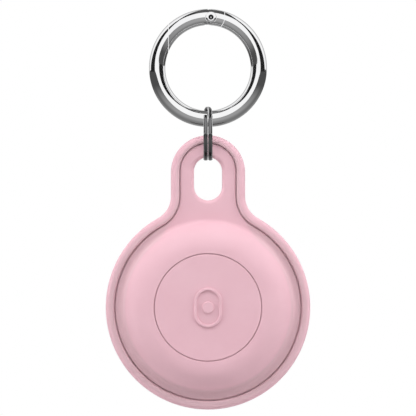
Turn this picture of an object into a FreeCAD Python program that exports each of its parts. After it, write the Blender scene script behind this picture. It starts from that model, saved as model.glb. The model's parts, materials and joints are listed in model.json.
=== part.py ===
import FreeCAD, Part
import math
import os
import re

import Sketcher

# Tracker tag holder: a two-layer silicone case with a coin tracker inside, hung by a small split ring
# from a spring-gate ring. Millimetres. The origin is the centre of the spring ring, +Z is up and the
# front faces -Y. The case and the tracker are drawn about the centre of the case's round part.

driving_sizes = [
    # spring-gate ring
    ("ring_outer_diameter", 24.0),
    ("ring_wire_diameter", 3.3),
    ("rivet_offset", 0.61),
    ("gate_heel_length", 2.85),
    ("gate_heel_sweep", 60.0),
    ("gate_heel_gap", 0.12),
    ("gate_opening_angle", 35.0),
    ("gate_relief_angle", 5.0),
    ("latch_setback", 0.6),
    ("latch_gap", 0.1),
    ("tongue_thickness", 1.2),
    ("tongue_trim", 0.03),
    ("tongue_side_gap", 0.05),
    ("tongue_end_gap", 0.13),
    ("tongue_flat_depth", 0.47),
    # hinge rivet
    ("rivet_shaft_diameter", 1.2),
    ("rivet_press_gap", 0.02),
    ("rivet_running_gap", 0.05),
    ("rivet_head_diameter", 2.2),
    ("rivet_head_height", 0.3),
    ("rivet_seat_depth", 0.25),
    ("rivet_seat_gap", 0.08),
    ("rivet_dimple_diameter", 1.3),
    ("rivet_dimple_depth", 0.25),
    # plunger and spring inside the gate
    ("bore_tilt", 8.0),
    ("bore_drop", 0.45),
    ("bore_side_gap", 0.05),
    ("plunger_diameter", 0.9),
    ("plunger_length", 1.9),
    ("plunger_nose_gap", 0.05),
    ("spring_length", 3.2),
    ("spring_wire_diameter", 0.2),
    ("spring_turns", 4.5),
    ("spring_end_gap", 0.02),
    # split ring between the spring ring and the case
    ("link_wire_diameter", 0.75),
    ("link_turn_gap", 0.42),
    ("link_play", 0.2),
    ("link_end_angle", 46.0),
    # silicone case
    ("neck_gap", 1.7),
    ("neck_width", 15.1),
    ("neck_length", 6.65),
    ("neck_fillet", 5.1),
    ("eyelet_bar_height", 4.35),
    ("slot_width", 5.9),
    ("slot_length", 8.9),
    ("slot_land", 1.0),
    ("slot_sill", 1.1),
    ("layer_thickness", 1.6),
    ("rim_width", 1.7),
    ("rim_round", 0.9),
    ("seam_gap", 0.3),
    ("flange_land", 2.5),
    ("flex_gap", 0.1),
    ("bead_radius", 0.5),
    ("bead_play", 0.25),
    ("dome_margin", 0.8),
    ("front_wall", 1.35),
    ("rear_wall", 1.6),
    # flush centre disc with its raised badge
    ("disc_margin", 4.95),
    ("disc_hairline", 0.2),
    ("disc_shoulder", 0.8),
    ("disc_thickness", 0.8),
    ("badge_width", 5.7),
    ("badge_height", 8.1),
    ("badge_band", 0.6),
    ("badge_relief", 0.35),
    ("badge_pip_diameter", 2.4),
    # coin tracker, built outwards from its coin cell
    ("tag_wall", 1.0),
    ("tag_band_height", 1.5),
    ("tag_face_margin", 4.95),
    ("tag_rear_margin", 3.0),
    ("tag_rear_rim", 0.35),
    ("tag_front_gap", 0.3),
    ("tag_side_gap", 0.35),
    ("tag_rear_gap", 0.05),
    ("tag_frame_gap", 0.1),
    ("cell_diameter", 20.0),
    ("cell_height", 3.2),
    ("cell_side_gap", 0.2),
    ("cell_edge", 0.3),
    ("cell_cover_thickness", 0.5),
    ("cell_cover_lip", 2.4),
    ("frame_floor", 0.5),
    ("board_thickness", 0.6),
    ("board_margin", 0.85),
    ("board_hole_gap", 0.6),
    ("contact_diameter", 1.2),
    ("contact_hole_gap", 0.2),
    ("contact_margin", 1.5),
    ("magnet_diameter", 8.8),
    ("magnet_height", 2.2),
    ("magnet_play", 0.6),
    ("coil_gap", 0.3),
    ("coil_width", 0.9),
    ("coil_height", 1.4),
]

derived_sizes = [
    ("ring_mean_radius", "(ring_outer_diameter - ring_wire_diameter) / 2"),
    ("ring_inner_radius", "ring_outer_diameter / 2 - ring_wire_diameter"),
    ("ring_clear_height", "ring_outer_diameter * 0.6"),
    ("rivet_height", "sqrt(ring_mean_radius ^ 2 - rivet_offset ^ 2)"),
    ("rivet_seat", "ring_wire_diameter / 2 - rivet_seat_depth"),
    ("latch_reach", "ring_inner_radius - latch_setback"),
    ("tongue_radius", "ring_wire_diameter / 2 - tongue_trim"),
    ("tongue_flat", "tongue_radius - tongue_flat_depth"),
    ("tongue_flat_spread", "acos(tongue_flat / tongue_radius) / 1deg"),
    ("fork_radius", "tongue_radius + tongue_end_gap"),
    ("fork_angle", "270 - gate_opening_angle - gate_relief_angle"),
    ("fork_reach", "gate_heel_length + ring_wire_diameter"),
    ("bore_x", "rivet_offset + bore_drop * sin(bore_tilt)"),
    ("bore_z", "rivet_height - bore_drop * cos(bore_tilt)"),
    ("bore_radius", "plunger_diameter / 2 + bore_side_gap"),
    ("plunger_tip", "tongue_flat + plunger_nose_gap"),
    ("plunger_back", "plunger_tip + plunger_length"),
    ("bore_end", "plunger_back + spring_length"),
    ("link_span", "ring_wire_diameter + neck_gap + eyelet_bar_height"),
    ("link_mean_radius", "link_span / 2 + link_play + link_wire_diameter / 2"),
    ("link_drop", "ring_inner_radius + link_span / 2"),
    ("link_turn_offset", "(link_wire_diameter + link_turn_gap) / 2"),
    ("cell_well_radius", "cell_diameter / 2 + cell_side_gap"),
    ("cell_cover_radius", "cell_well_radius + cell_cover_lip"),
    ("tag_rear_radius", "cell_cover_radius + tag_rear_rim"),
    ("tag_radius", "tag_rear_radius + tag_rear_margin"),
    ("tag_stack", "cell_cover_thickness + cell_height + frame_floor + magnet_height + magnet_play"),
    ("tag_half", "(tag_stack + tag_wall) / 2"),
    ("tag_face_radius", "tag_radius - tag_face_margin"),
    ("pocket_radius", "tag_radius + tag_side_gap"),
    ("cover_radius", "pocket_radius + flange_land"),
    ("cover_inset", "rim_width + seam_gap"),
    ("case_radius", "cover_radius + cover_inset"),
    ("neck_radius", "neck_width / 2"),
    ("neck_rise", "case_radius + neck_length"),
    ("fillet_x", "neck_radius + neck_fillet"),
    ("fillet_z", "sqrt((case_radius + neck_fillet) ^ 2 - fillet_x ^ 2)"),
    ("slot_top", "neck_rise + neck_radius - eyelet_bar_height"),
    ("slot_round", "layer_thickness - slot_land / 2"),
    ("flex_height", "slot_top - slot_length - slot_sill"),
    ("disc_drop", "ring_outer_diameter / 2 + neck_gap + neck_rise + neck_radius"),
    ("bead_circle_radius", "pocket_radius + flange_land / 2"),
    ("disc_radius", "tag_radius - disc_margin"),
    ("dome_radius", "cover_radius - dome_margin"),
    ("dome_flat_radius", "disc_radius + disc_hairline + disc_shoulder"),
    ("front_face", "tag_half + tag_front_gap + front_wall"),
    ("rear_face", "tag_half + tag_rear_gap + rear_wall"),
    ("cell_top", "tag_half - cell_cover_thickness"),
    ("cell_seat", "cell_top - cell_height"),
    ("frame_front", "cell_seat - frame_floor"),
    ("frame_radius", "tag_radius - tag_wall - tag_frame_gap"),
    ("board_radius", "frame_radius - board_margin"),
    ("board_hole_radius", "magnet_diameter / 2 + board_hole_gap"),
    ("contact_circle_radius", "board_hole_radius + contact_margin"),
]

doc = FreeCAD.newDocument("TagHolder")
sheet = doc.addObject("Spreadsheet::Sheet", "Sizes")
for row, (alias, number) in enumerate(driving_sizes, 1):
    sheet.set("A%d" % row, alias)
    sheet.set("B%d" % row, str(number))
    sheet.setAlias("B%d" % row, alias)
for row, (alias, formula) in enumerate(derived_sizes, 1):
    sheet.set("D%d" % row, alias)
    sheet.set("E%d" % row, "=" + formula)
    sheet.setAlias("E%d" % row, alias)
doc.recompute()

sub_parts = {}
touch = 1e-3


# Expressions: every word with an underscore is a cell of the sheet.
def linked(text):
    return re.sub(r"[a-z]+(_[a-z]+)+", lambda word: "Sizes." + word.group(0), text)


def value(text):
    return float(sheet.evalExpression(linked(text)))


def tie(target, path, text):
    target.setExpression(path, linked(text))


# Radius of the arc that leaves a flat and drops by rise over run.
def drop_arc(run, rise):
    return "((%s) ^ 2 + (%s) ^ 2) / (2 * (%s))" % (run, rise, rise)


# Bodies, sketches and features
def new_body(label, x="0", z="0"):
    body = doc.addObject("PartDesign::Body", label)
    body.Label = label
    tie(body, "Placement.Base.x", x)
    tie(body, "Placement.Base.z", z)
    sub_parts[label] = body
    return body


def new_sketch(body, name, role, offset="0"):
    sketch = body.newObject("Sketcher::SketchObject", name)
    plane = [item for item in body.Origin.OriginFeatures if item.Role == role][0]
    sketch.AttachmentSupport = (plane, [""])
    sketch.MapMode = "FlatFace"
    tie(sketch, "AttachmentOffset.Base.z", offset)
    return sketch


def dimension(sketch, constraint, text):
    index = sketch.addConstraint(constraint)
    tie(sketch, "Constraints[%d]" % index, text)


def pin_point(sketch, edge, end, x, y):
    for kind, axis, text in (("DistanceX", -2, x), ("DistanceY", -1, y)):
        if text == "0":
            sketch.addConstraint(Sketcher.Constraint("PointOnObject", edge, end, axis))
        else:
            dimension(sketch, Sketcher.Constraint(kind, -1, 1, edge, end, value(text)), text)


def arc_between(start, end, radius, side):
    chord = end - start
    across = FreeCAD.Vector(-chord.y, chord.x, 0).normalize()
    height = max(radius ** 2 - chord.Length ** 2 / 4, 0) ** 0.5
    centre = (start + end) / 2 + across * (side * height)
    first, last = (start, end) if side > 0 else (end, start)
    begin = (first - centre).getAngle(FreeCAD.Vector(1, 0, 0))
    begin = begin if first.y >= centre.y else -begin
    sweep = (first - centre).getAngle(last - centre)
    circle = Part.Circle(centre, FreeCAD.Vector(0, 0, 1), radius)
    return Part.ArcOfCircle(circle, begin, begin + sweep)


# Closed outline through its corners, each (x, y), or (x, y, radius, side) where an arc arrives there:
# side is 1 with the arc's centre on the left of the way round, -1 with it on the right.
def outline(sketch, corners):
    points = [FreeCAD.Vector(value(corner[0]), value(corner[1]), 0) for corner in corners]
    ends = []
    for index, corner in enumerate(corners):
        start, end = points[index - 1], points[index]
        if len(corner) == 2:
            edge = sketch.addGeometry(Part.LineSegment(start, end))
            ends.append((edge, 1, 2))
        else:
            edge = sketch.addGeometry(arc_between(start, end, value(corner[2]), corner[3]))
            ends.append((edge, 1, 2) if corner[3] > 0 else (edge, 2, 1))
    for index, corner in enumerate(corners):
        edge, first, last = ends[index]
        before, _, before_last = ends[index - 1]
        sketch.addConstraint(Sketcher.Constraint("Coincident", before, before_last, edge, first))
        pin_point(sketch, edge, last, corner[0], corner[1])
        if len(corner) > 2:
            dimension(sketch, Sketcher.Constraint("Radius", edge, value(corner[2])), corner[2])


def circle(sketch, x, y, radius):
    shape = Part.Circle(FreeCAD.Vector(value(x), value(y), 0), FreeCAD.Vector(0, 0, 1), value(radius))
    edge = sketch.addGeometry(shape)
    pin_point(sketch, edge, 3, x, y)
    dimension(sketch, Sketcher.Constraint("Radius", edge, value(radius)), radius)


def feature(body, kind, name, sketch):
    item = body.newObject("PartDesign::" + kind, name)
    item.Profile = sketch
    return item


def pad(body, name, sketch, length, both_ways=False):
    item = feature(body, "Pad", name, sketch)
    item.SideType = "Symmetric" if both_ways else "One side"
    tie(item, "Length", length)
    return item


# A cut whose depth is given, or that goes right through both ways where it isn't.
def pocket(body, name, sketch, depth=None, reverse=False, both_ways=False):
    item = feature(body, "Pocket", name, sketch)
    item.Reversed = reverse
    if depth:
        item.SideType = "Symmetric" if both_ways else "One side"
        tie(item, "Length", depth)
    else:
        item.SideType = "Symmetric"
        item.Type = "ThroughAll"
    return item


# A turned solid, or a turned cut, about the depth axis of its body: corners are (radius, depth).
def turned(body, name, corners, cut=False):
    sketch = new_sketch(body, name + "_profile", "XY_Plane")
    outline(sketch, corners)
    return turn(body, name, sketch, cut)


def turn(body, name, sketch, cut=False, axis="V_Axis"):
    item = feature(body, "Groove" if cut else "Revolution", name, sketch)
    item.ReferenceAxis = (sketch, [axis])
    item.Angle = 360
    return item


def rounded(body, name, base, names, radius):
    item = body.newObject("PartDesign::Fillet", name)
    item.Base = (base, names)
    tie(item, "Radius", radius)
    return item


# Outlines that several pieces share
def keyhole(inset):
    disc = "(case_radius - (%s))" % inset
    blend = "(neck_fillet + (%s))" % inset
    neck = "(neck_radius - (%s))" % inset
    touch_x = "%s * fillet_x / (case_radius + neck_fillet)" % disc
    touch_z = "%s * fillet_z / (case_radius + neck_fillet)" % disc
    return [
        ("-" + touch_x, touch_z, disc, -1),
        ("-" + neck, "fillet_z", blend, 1),
        ("-" + neck, "neck_rise"),
        ("0", "neck_rise + " + neck, neck, -1),
        (neck, "neck_rise", neck, -1),
        (neck, "fillet_z"),
        (touch_x, touch_z, blend, 1),
        (disc, "0", disc, -1),
        ("0", "-" + disc, disc, -1),
        ("-" + disc, "0", disc, -1),
    ]


def stadium(width, height, middle):
    radius = "(%s) / 2" % width
    side = "((%s) / 2)" % width
    upper = "%s + (%s) / 2 - %s" % (middle, height, side)
    lower = "%s - (%s) / 2 + %s" % (middle, height, side)
    return [
        ("-" + side, upper),
        ("0", "%s + (%s) / 2" % (middle, height), radius, -1),
        (side, upper, radius, -1),
        (side, lower),
        ("0", "%s - (%s) / 2" % (middle, height), radius, -1),
        ("-" + side, lower, radius, -1),
    ]


def eyelet_slot(body, name):
    sketch = new_sketch(body, name + "_outline", "XZ_Plane")
    outline(sketch, stadium("slot_width", "slot_length", "slot_top - slot_length / 2"))
    return pocket(body, name, sketch)


# The slot's edge loop on one outer face of the neck, at the given depth.
def slot_edges(shape, depth):
    half_width = value("slot_width / 2") + touch
    top = value("slot_top") + touch
    bottom = value("slot_top - slot_length") - touch
    names = []
    for index, edge in enumerate(shape.Edges, 1):
        box = edge.BoundBox
        flat = abs(box.YMin - depth) < touch and abs(box.YMax - depth) < touch
        if flat and max(-box.XMin, box.XMax) < half_width and box.ZMax < top and box.ZMin > bottom:
            names.append("Edge%d" % index)
    return names


# The stretch of the ring that the gate takes up, seen from the front: the latch cut is upright, and the
# heel is upright above the rivet and round about the rivet below it, so that the gate can swing inwards.
def gate_zone(latch, heel):
    low_x = "rivet_offset + (%s) * cos(gate_heel_sweep)" % heel
    return [
        ("-(%s)" % latch, "0"),
        ("-(%s)" % latch, "ring_clear_height"),
        ("rivet_offset + (%s)" % heel, "ring_clear_height"),
        ("rivet_offset + (%s)" % heel, "rivet_height"),
        (low_x, "rivet_height - (%s) * sin(gate_heel_sweep)" % heel, heel, -1),
        (low_x, "0"),
    ]


def about_rivet(radius, angle):
    x = "rivet_offset + (%s) * cos(%s)" % (radius, angle)
    z = "rivet_height + (%s) * sin(%s)" % (radius, angle)
    return x, z


def ring_blank(body):
    sketch = new_sketch(body, "wire_section", "XY_Plane")
    circle(sketch, "ring_mean_radius", "0", "ring_wire_diameter / 2")
    return turn(body, "wire_turn", sketch)


def make_ring_body():
    body = new_body("ring_body")
    ring_blank(body)
    upper = "180 + bore_tilt - tongue_flat_spread"
    lower = "180 + bore_tilt + tongue_flat_spread"
    window = new_sketch(body, "window_outline", "XZ_Plane")
    outline(window, [
        ("-latch_reach", "0"),
        ("-latch_reach", "ring_clear_height"),
        ("rivet_offset", "ring_clear_height"),
        ("rivet_offset", "rivet_height + tongue_radius"),
        about_rivet("tongue_radius", upper) + ("tongue_radius", 1),
        about_rivet("tongue_radius", lower),
        ("rivet_offset", "rivet_height - tongue_radius", "tongue_radius", 1),
        ("rivet_offset", "0"),
    ])
    pocket(body, "gate_window", window)
    for side, sign in (("front", "1"), ("rear", "-1")):
        cheek = new_sketch(body, side + "_cheek_outline", "XZ_Plane", sign + " * tongue_thickness / 2")
        outline(cheek, gate_zone("latch_reach", "gate_heel_length"))
        pocket(body, side + "_cheek", cheek, "ring_wire_diameter", reverse=side == "front")
    eye = new_sketch(body, "rivet_eye_outline", "XZ_Plane")
    circle(eye, "rivet_offset", "rivet_height", "rivet_shaft_diameter / 2 + rivet_running_gap")
    pocket(body, "rivet_eye", eye)


def make_ring_gate():
    body = new_body("ring_gate")
    ring_blank(body)
    beyond = "ring_outer_diameter"
    trim = new_sketch(body, "trim_outline", "XZ_Plane")
    outline(trim, [
        ("-" + beyond, "-" + beyond),
        (beyond, "-" + beyond),
        (beyond, beyond),
        ("-" + beyond, beyond),
    ])
    outline(trim, gate_zone("latch_reach - latch_gap", "gate_heel_length - gate_heel_gap"))
    pocket(body, "trim", trim)
    fork = new_sketch(body, "fork_outline", "XZ_Plane")
    heel_low = about_rivet("fork_reach", "fork_angle")
    outline(fork, [
        ("rivet_offset", "rivet_height + fork_radius"),
        about_rivet("fork_radius", "fork_angle") + ("fork_radius", 1),
        heel_low,
        ("rivet_offset + fork_reach", heel_low[1]),
        ("rivet_offset + fork_reach", "ring_clear_height"),
        ("rivet_offset", "ring_clear_height"),
    ])
    pocket(body, "fork", fork, "tongue_thickness + 2 * tongue_side_gap", both_ways=True)
    hole = new_sketch(body, "rivet_hole_outline", "XZ_Plane")
    circle(hole, "rivet_offset", "rivet_height", "rivet_shaft_diameter / 2 + rivet_press_gap")
    pocket(body, "rivet_hole", hole)
    for side, sign in (("front", "1"), ("rear", "-1")):
        seat = new_sketch(body, side + "_seat_outline", "XZ_Plane", sign + " * rivet_seat")
        circle(seat, "rivet_offset", "rivet_height", "rivet_head_diameter / 2 + rivet_seat_gap")
        pocket(body, side + "_seat", seat, "ring_wire_diameter", reverse=side == "front")
    bore = body.newObject("PartDesign::SubtractiveCylinder", "plunger_bore")
    plane = [item for item in body.Origin.OriginFeatures if item.Role == "XY_Plane"][0]
    bore.AttachmentSupport = (plane, [""])
    bore.MapMode = "FlatFace"
    upright = FreeCAD.Rotation(FreeCAD.Vector(0, 1, 0), 90 - value("bore_tilt"))
    bore.AttachmentOffset = FreeCAD.Placement(FreeCAD.Vector(0, 0, 0), upright)
    tie(bore, "AttachmentOffset.Base.x", "bore_x - bore_end * cos(bore_tilt)")
    tie(bore, "AttachmentOffset.Base.z", "bore_z - bore_end * sin(bore_tilt)")
    tie(bore, "AttachmentOffset.Rotation.Angle", "90 - bore_tilt")
    tie(bore, "Radius", "bore_radius")
    tie(bore, "Height", "bore_end - tongue_flat / 2")


def make_hinge_rivet():
    body = new_body("hinge_rivet", "rivet_offset", "rivet_height")
    shaft, head, dimple = "rivet_shaft_diameter / 2", "rivet_head_diameter / 2", "rivet_dimple_diameter / 2"
    top = "(rivet_seat + rivet_head_height)"
    floor = "(rivet_seat + rivet_head_height - rivet_dimple_depth)"
    turned(body, "rivet", [
        ("0", "-" + floor),
        (dimple, "-" + floor),
        (dimple, "-" + top),
        (head, "-" + top),
        (head, "-rivet_seat"),
        (shaft, "-rivet_seat"),
        (shaft, "rivet_seat"),
        (head, "rivet_seat"),
        (head, top),
        (dimple, top),
        (dimple, floor),
        ("0", floor),
    ])


# The plunger and its spring lie on the bore's axis: X runs along it, towards the rivet.
def lay_in_bore(item):
    item.Placement = FreeCAD.Placement(
        FreeCAD.Vector(value("bore_x"), 0, value("bore_z")),
        FreeCAD.Rotation(FreeCAD.Vector(0, -1, 0), value("bore_tilt")),
    )
    tie(item, "Placement.Base.x", "bore_x")
    tie(item, "Placement.Base.z", "bore_z")
    tie(item, "Placement.Rotation.Angle", "bore_tilt")


def make_gate_plunger():
    body = new_body("gate_plunger")
    lay_in_bore(body)
    sketch = new_sketch(body, "plunger_profile", "XY_Plane")
    radius = "plunger_diameter / 2"
    outline(sketch, [
        ("-plunger_back", "0"),
        ("-plunger_tip", "0"),
        ("-plunger_tip - " + radius, radius, radius, 1),
        ("-plunger_back", radius),
    ])
    turn(body, "plunger", sketch, axis="H_Axis")


# Wound wire: two arcs between each pair of stations, a station being a point and a direction. An arc is
# known by its ends and by the corner where the lines that touch it there meet.
def arc_edge(start, corner, end):
    middle = (start + end) / 2
    half = (end - start).Length / 2
    slope = (corner - middle).Length / half
    sagitta = half * slope / (1 + math.hypot(1, slope))
    return Part.Arc(start, middle + (corner - middle).normalize() * sagitta, end).toShape()


def biarc(first, second):
    (start, out), (end, back) = first, second
    chord = end - start
    bend = 1 - out.dot(back)
    along = chord.dot(out + back)
    reach = ((along ** 2 + 2 * bend * chord.dot(chord)) ** 0.5 - along) / (2 * bend)
    near, far = start + out * reach, end - back * reach
    middle = (near + far) / 2
    return [arc_edge(start, near, middle), arc_edge(middle, far, end)]


def wound_wire(stations, radius):
    edges = []
    for first, second in zip(stations, stations[1:]):
        edges += biarc(first, second)
    path = Part.Wire(edges)
    start, direction = stations[0]
    section = Part.Wire(Part.makeCircle(radius, start, direction))
    return path, path.makePipeShell([section], True, False)


# Least gap of a wound wire to itself, between points more than a few wire widths apart along it.
def least_gap(path, radius, count=400):
    points = path.discretize(count)
    step = path.Length / (count - 1)
    skip = int(8 * radius / step) + 1
    gaps = [(points[i] - points[k]).Length for i in range(count) for k in range(i + skip, count)]
    return min(gaps) - 2 * radius


def add_wire(label, stations, radius):
    path, solid = wound_wire(stations, radius)
    item = doc.addObject("Part::Feature", label)
    item.Label = label
    item.Shape = solid
    sub_parts[label] = item
    section_area = math.pi * radius ** 2
    print(label, "least gap to itself %.3f mm," % least_gap(path, radius), end=" ")
    print("volume over section times length %.4f" % (solid.Volume / (section_area * path.Length)))
    return item


def make_gate_spring():
    radius = value("spring_wire_diameter / 2")
    coil = value("plunger_diameter / 2") - radius
    end_room = radius + value("spring_end_gap")
    length = value("spring_length") - 2 * end_room
    turns = value("spring_turns")
    start = -value("bore_end") + end_room
    quarters = round(turns * 4)
    pace = length / quarters
    stations = []
    for step in range(quarters + 1):
        turn_by = FreeCAD.Rotation(FreeCAD.Vector(1, 0, 0), 90 * step)
        spoke = turn_by.multVec(FreeCAD.Vector(0, coil, 0))
        along = turn_by.multVec(FreeCAD.Vector(0, 0, coil * math.pi / 2))
        point = FreeCAD.Vector(start + pace * step, 0, 0) + spoke
        direction = (FreeCAD.Vector(pace, 0, 0) + along).normalize()
        stations.append((point, direction))
    lay_in_bore(add_wire("gate_spring", stations, radius))


# Two turns side by side: from the cut end at the upper front of the left turn, down the front and up the
# back, over the top to the right turn, and down, round and up again to the cut end at the upper back.
def make_split_ring():
    radius = value("link_wire_diameter / 2")
    offset = value("link_turn_offset")
    first = value("link_end_angle")
    quarter = (360 - 2 * first) / 4
    stations = []
    for side in (-offset, offset):
        for step in range(5):
            roll = FreeCAD.Rotation(FreeCAD.Vector(1, 0, 0), first + quarter * step)
            spoke = roll.multVec(FreeCAD.Vector(0, 0, value("link_mean_radius")))
            direction = roll.multVec(FreeCAD.Vector(0, -1, 0))
            stations.append((FreeCAD.Vector(side, 0, 0) + spoke, direction))
    item = add_wire("split_ring", stations, radius)
    tie(item, "Placement.Base.z", "-link_drop")


# The rear layer: rim, back dome, recess for the front layer, tracker pocket and seal channel.
def make_rear_shell():
    body = new_body("rear_shell", z="-disc_drop")
    plan = new_sketch(body, "plan", "XZ_Plane")
    outline(plan, keyhole("0"))
    plate = pad(body, "plate", plan, "2 * layer_thickness", both_ways=True)
    doc.recompute()
    faces = [index for index, face in enumerate(plate.Shape.Faces, 1) if face.BoundBox.YLength < touch]
    rounded(body, "rim_edges", plate, ["Face%d" % index for index in faces], "rim_round")
    dome_arc = drop_arc("dome_radius - dome_flat_radius", "rear_face - layer_thickness")
    turned(body, "back_dome", [
        ("0", "0"),
        ("dome_radius", "0"),
        ("dome_radius", "layer_thickness"),
        ("dome_flat_radius", "rear_face", dome_arc, 1),
        ("0", "rear_face"),
    ])
    recess = new_sketch(body, "recess_outline", "XZ_Plane", "layer_thickness")
    outline(recess, keyhole("rim_width"))
    pocket(body, "recess", recess, "layer_thickness")
    snug = "(tag_radius + tag_rear_gap)"
    deep = "(tag_half + tag_rear_gap)"
    turned(body, "tag_pocket", [
        ("0", "0"),
        (snug, "0"),
        (snug, "tag_band_height"),
        ("tag_rear_radius", deep, drop_arc(snug + " - tag_rear_radius", deep + " - tag_band_height"), 1),
        ("0", deep),
    ], cut=True)
    channel = new_sketch(body, "seal_channel_section", "XY_Plane")
    circle(channel, "bead_circle_radius", "0", "bead_radius + bead_play")
    turn(body, "seal_channel", channel, cut=True)
    slot = eyelet_slot(body, "eyelet_slot")
    doc.recompute()
    rounded(body, "slot_edge", slot, slot_edges(slot.Shape, value("layer_thickness")), "slot_round")


def cover_plate(body):
    plan = new_sketch(body, "plan", "XZ_Plane")
    outline(plan, keyhole("cover_inset"))
    return pad(body, "plate", plan, "layer_thickness")


# Cuts the front layer off above or below a level, so that it is one piece on each side of the flex line.
def cut_across(body, name, level, far):
    sketch = new_sketch(body, name + "_outline", "XZ_Plane")
    side = "case_radius * 2"
    outline(sketch, [("-" + side, level), (side, level), (side, far), ("-" + side, far)])
    return pocket(body, name, sketch)


def make_front_cover():
    body = new_body("front_cover", z="-disc_drop")
    cover_plate(body)
    cut_across(body, "flex_cut", "flex_height", "neck_rise + neck_width")
    dome_arc = drop_arc("dome_radius - dome_flat_radius", "front_face - layer_thickness")
    turned(body, "front_dome", [
        ("0", "-layer_thickness / 2"),
        ("0", "-front_face"),
        ("dome_flat_radius", "-front_face"),
        ("dome_radius", "-layer_thickness", dome_arc, 1),
        ("dome_radius", "-layer_thickness / 2"),
    ])
    deep = "(tag_half + tag_front_gap)"
    turned(body, "tag_cavity", [
        ("0", "0"),
        ("0", "-" + deep),
        ("tag_face_radius", "-" + deep),
        ("pocket_radius", "0", drop_arc("pocket_radius - tag_face_radius", deep), 1),
    ], cut=True)
    recess = new_sketch(body, "disc_recess_outline", "XZ_Plane", "front_face")
    circle(recess, "0", "0", "disc_radius + disc_hairline")
    pocket(body, "disc_recess", recess, "disc_thickness")
    bead = new_sketch(body, "seal_bead_section", "XY_Plane")
    circle(bead, "bead_circle_radius", "0", "bead_radius")
    turn(body, "seal_bead", bead)


def make_front_cover_neck():
    body = new_body("front_cover_neck", z="-disc_drop")
    cover_plate(body)
    cut_across(body, "flex_cut", "flex_height + flex_gap", "-case_radius * 2")
    slot = eyelet_slot(body, "eyelet_slot")
    doc.recompute()
    rounded(body, "slot_edge", slot, slot_edges(slot.Shape, -value("layer_thickness")), "slot_round")


def make_centre_disc():
    body = new_body("centre_disc", z="-disc_drop")
    plan = new_sketch(body, "plan", "XZ_Plane", "front_face - disc_thickness")
    circle(plan, "0", "0", "disc_radius")
    pad(body, "plate", plan, "disc_thickness")
    badge = new_sketch(body, "badge_outline", "XZ_Plane", "front_face")
    outline(badge, stadium("badge_width", "badge_height", "0"))
    outline(badge, stadium("badge_width - 2 * badge_band", "badge_height - 2 * badge_band", "0"))
    circle(badge, "0", "0", "badge_pip_diameter / 2")
    pad(body, "badge", badge, "badge_relief")


# The coin tracker, from its front shell to the steel battery cover at the back.
def make_tracker():
    inner_face = "(tag_half - tag_wall)"
    inner_radius = "(tag_radius - tag_wall)"
    shell = new_body("tag_front_shell", z="-disc_drop")
    turned(shell, "shell", [
        ("0", "-tag_half"),
        ("tag_face_radius", "-tag_half"),
        ("tag_radius", "0", drop_arc("tag_radius - tag_face_radius", "tag_half"), 1),
        ("tag_radius", "tag_band_height"),
        (inner_radius, "tag_band_height"),
        (inner_radius, "0"),
        ("tag_face_radius", "-" + inner_face, drop_arc(inner_radius + " - tag_face_radius", inner_face), -1),
        ("0", "-" + inner_face),
    ])

    frame = new_body("tag_inner_frame", z="-disc_drop")
    cover_seat = "(cell_cover_radius + tag_frame_gap)"
    turned(frame, "frame", [
        ("0", "frame_front"),
        ("frame_radius", "frame_front"),
        ("frame_radius", "tag_band_height"),
        ("tag_radius", "tag_band_height"),
        ("tag_rear_radius", "tag_half", drop_arc("tag_rear_margin", "tag_half - tag_band_height"), 1),
        (cover_seat, "tag_half"),
        (cover_seat, "cell_top"),
        ("cell_well_radius", "cell_top"),
        ("cell_well_radius", "cell_seat"),
        ("0", "cell_seat"),
    ])
    holes = new_sketch(frame, "contact_holes_outline", "XZ_Plane")
    pins = new_body("tag_battery_contacts", z="-disc_drop")
    pins.AllowCompound = True
    pin_plan = new_sketch(pins, "plan", "XZ_Plane", "-cell_seat")
    for angle in (90, 210, 330):
        x = "contact_circle_radius * cos(%d)" % angle if angle != 90 else "0"
        z = "contact_circle_radius * sin(%d)" % angle
        circle(holes, x, z, "contact_diameter / 2 + contact_hole_gap")
        circle(pin_plan, x, z, "contact_diameter / 2")
    pocket(frame, "contact_holes", holes)
    pad(pins, "pins", pin_plan, "frame_floor")

    board = new_body("tag_circuit_board", z="-disc_drop")
    plan = new_sketch(board, "plan", "XZ_Plane", "-frame_front")
    circle(plan, "0", "0", "board_radius")
    circle(plan, "0", "0", "board_hole_radius")
    pad(board, "board", plan, "board_thickness")

    cell = new_body("tag_coin_cell", z="-disc_drop")
    rim = "(cell_diameter / 2)"
    turned(cell, "cell", [
        ("0", "cell_seat"),
        (rim + " - cell_edge", "cell_seat"),
        (rim, "cell_seat + cell_edge"),
        (rim, "cell_top - cell_edge"),
        (rim + " - cell_edge", "cell_top"),
        ("0", "cell_top"),
    ])

    cover = new_body("tag_battery_cover", z="-disc_drop")
    turned(cover, "cover", [
        ("0", "cell_top"),
        ("cell_cover_radius", "cell_top"),
        ("cell_cover_radius", "cell_top + cell_cover_thickness / 2"),
        ("cell_cover_radius - cell_cover_thickness / 2", "tag_half", "cell_cover_thickness / 2", 1),
        ("0", "tag_half"),
    ])

    magnet = new_body("tag_sounder_magnet", z="-disc_drop")
    turned(magnet, "magnet", [
        ("0", "frame_front - magnet_height"),
        ("magnet_diameter / 2", "frame_front - magnet_height"),
        ("magnet_diameter / 2", "frame_front"),
        ("0", "frame_front"),
    ])

    coil = new_body("tag_sounder_coil", z="-disc_drop")
    coil_inner = "(magnet_diameter / 2 + coil_gap)"
    turned(coil, "coil", [
        (coil_inner, "-" + inner_face),
        (coil_inner + " + coil_width", "-" + inner_face),
        (coil_inner + " + coil_width", "-" + inner_face + " + coil_height"),
        (coil_inner, "-" + inner_face + " + coil_height"),
    ])


make_ring_body()
make_ring_gate()
make_hinge_rivet()
make_gate_plunger()
make_gate_spring()
make_split_ring()
make_rear_shell()
make_front_cover()
make_front_cover_neck()
make_centre_disc()
make_tracker()
doc.recompute()

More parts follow.
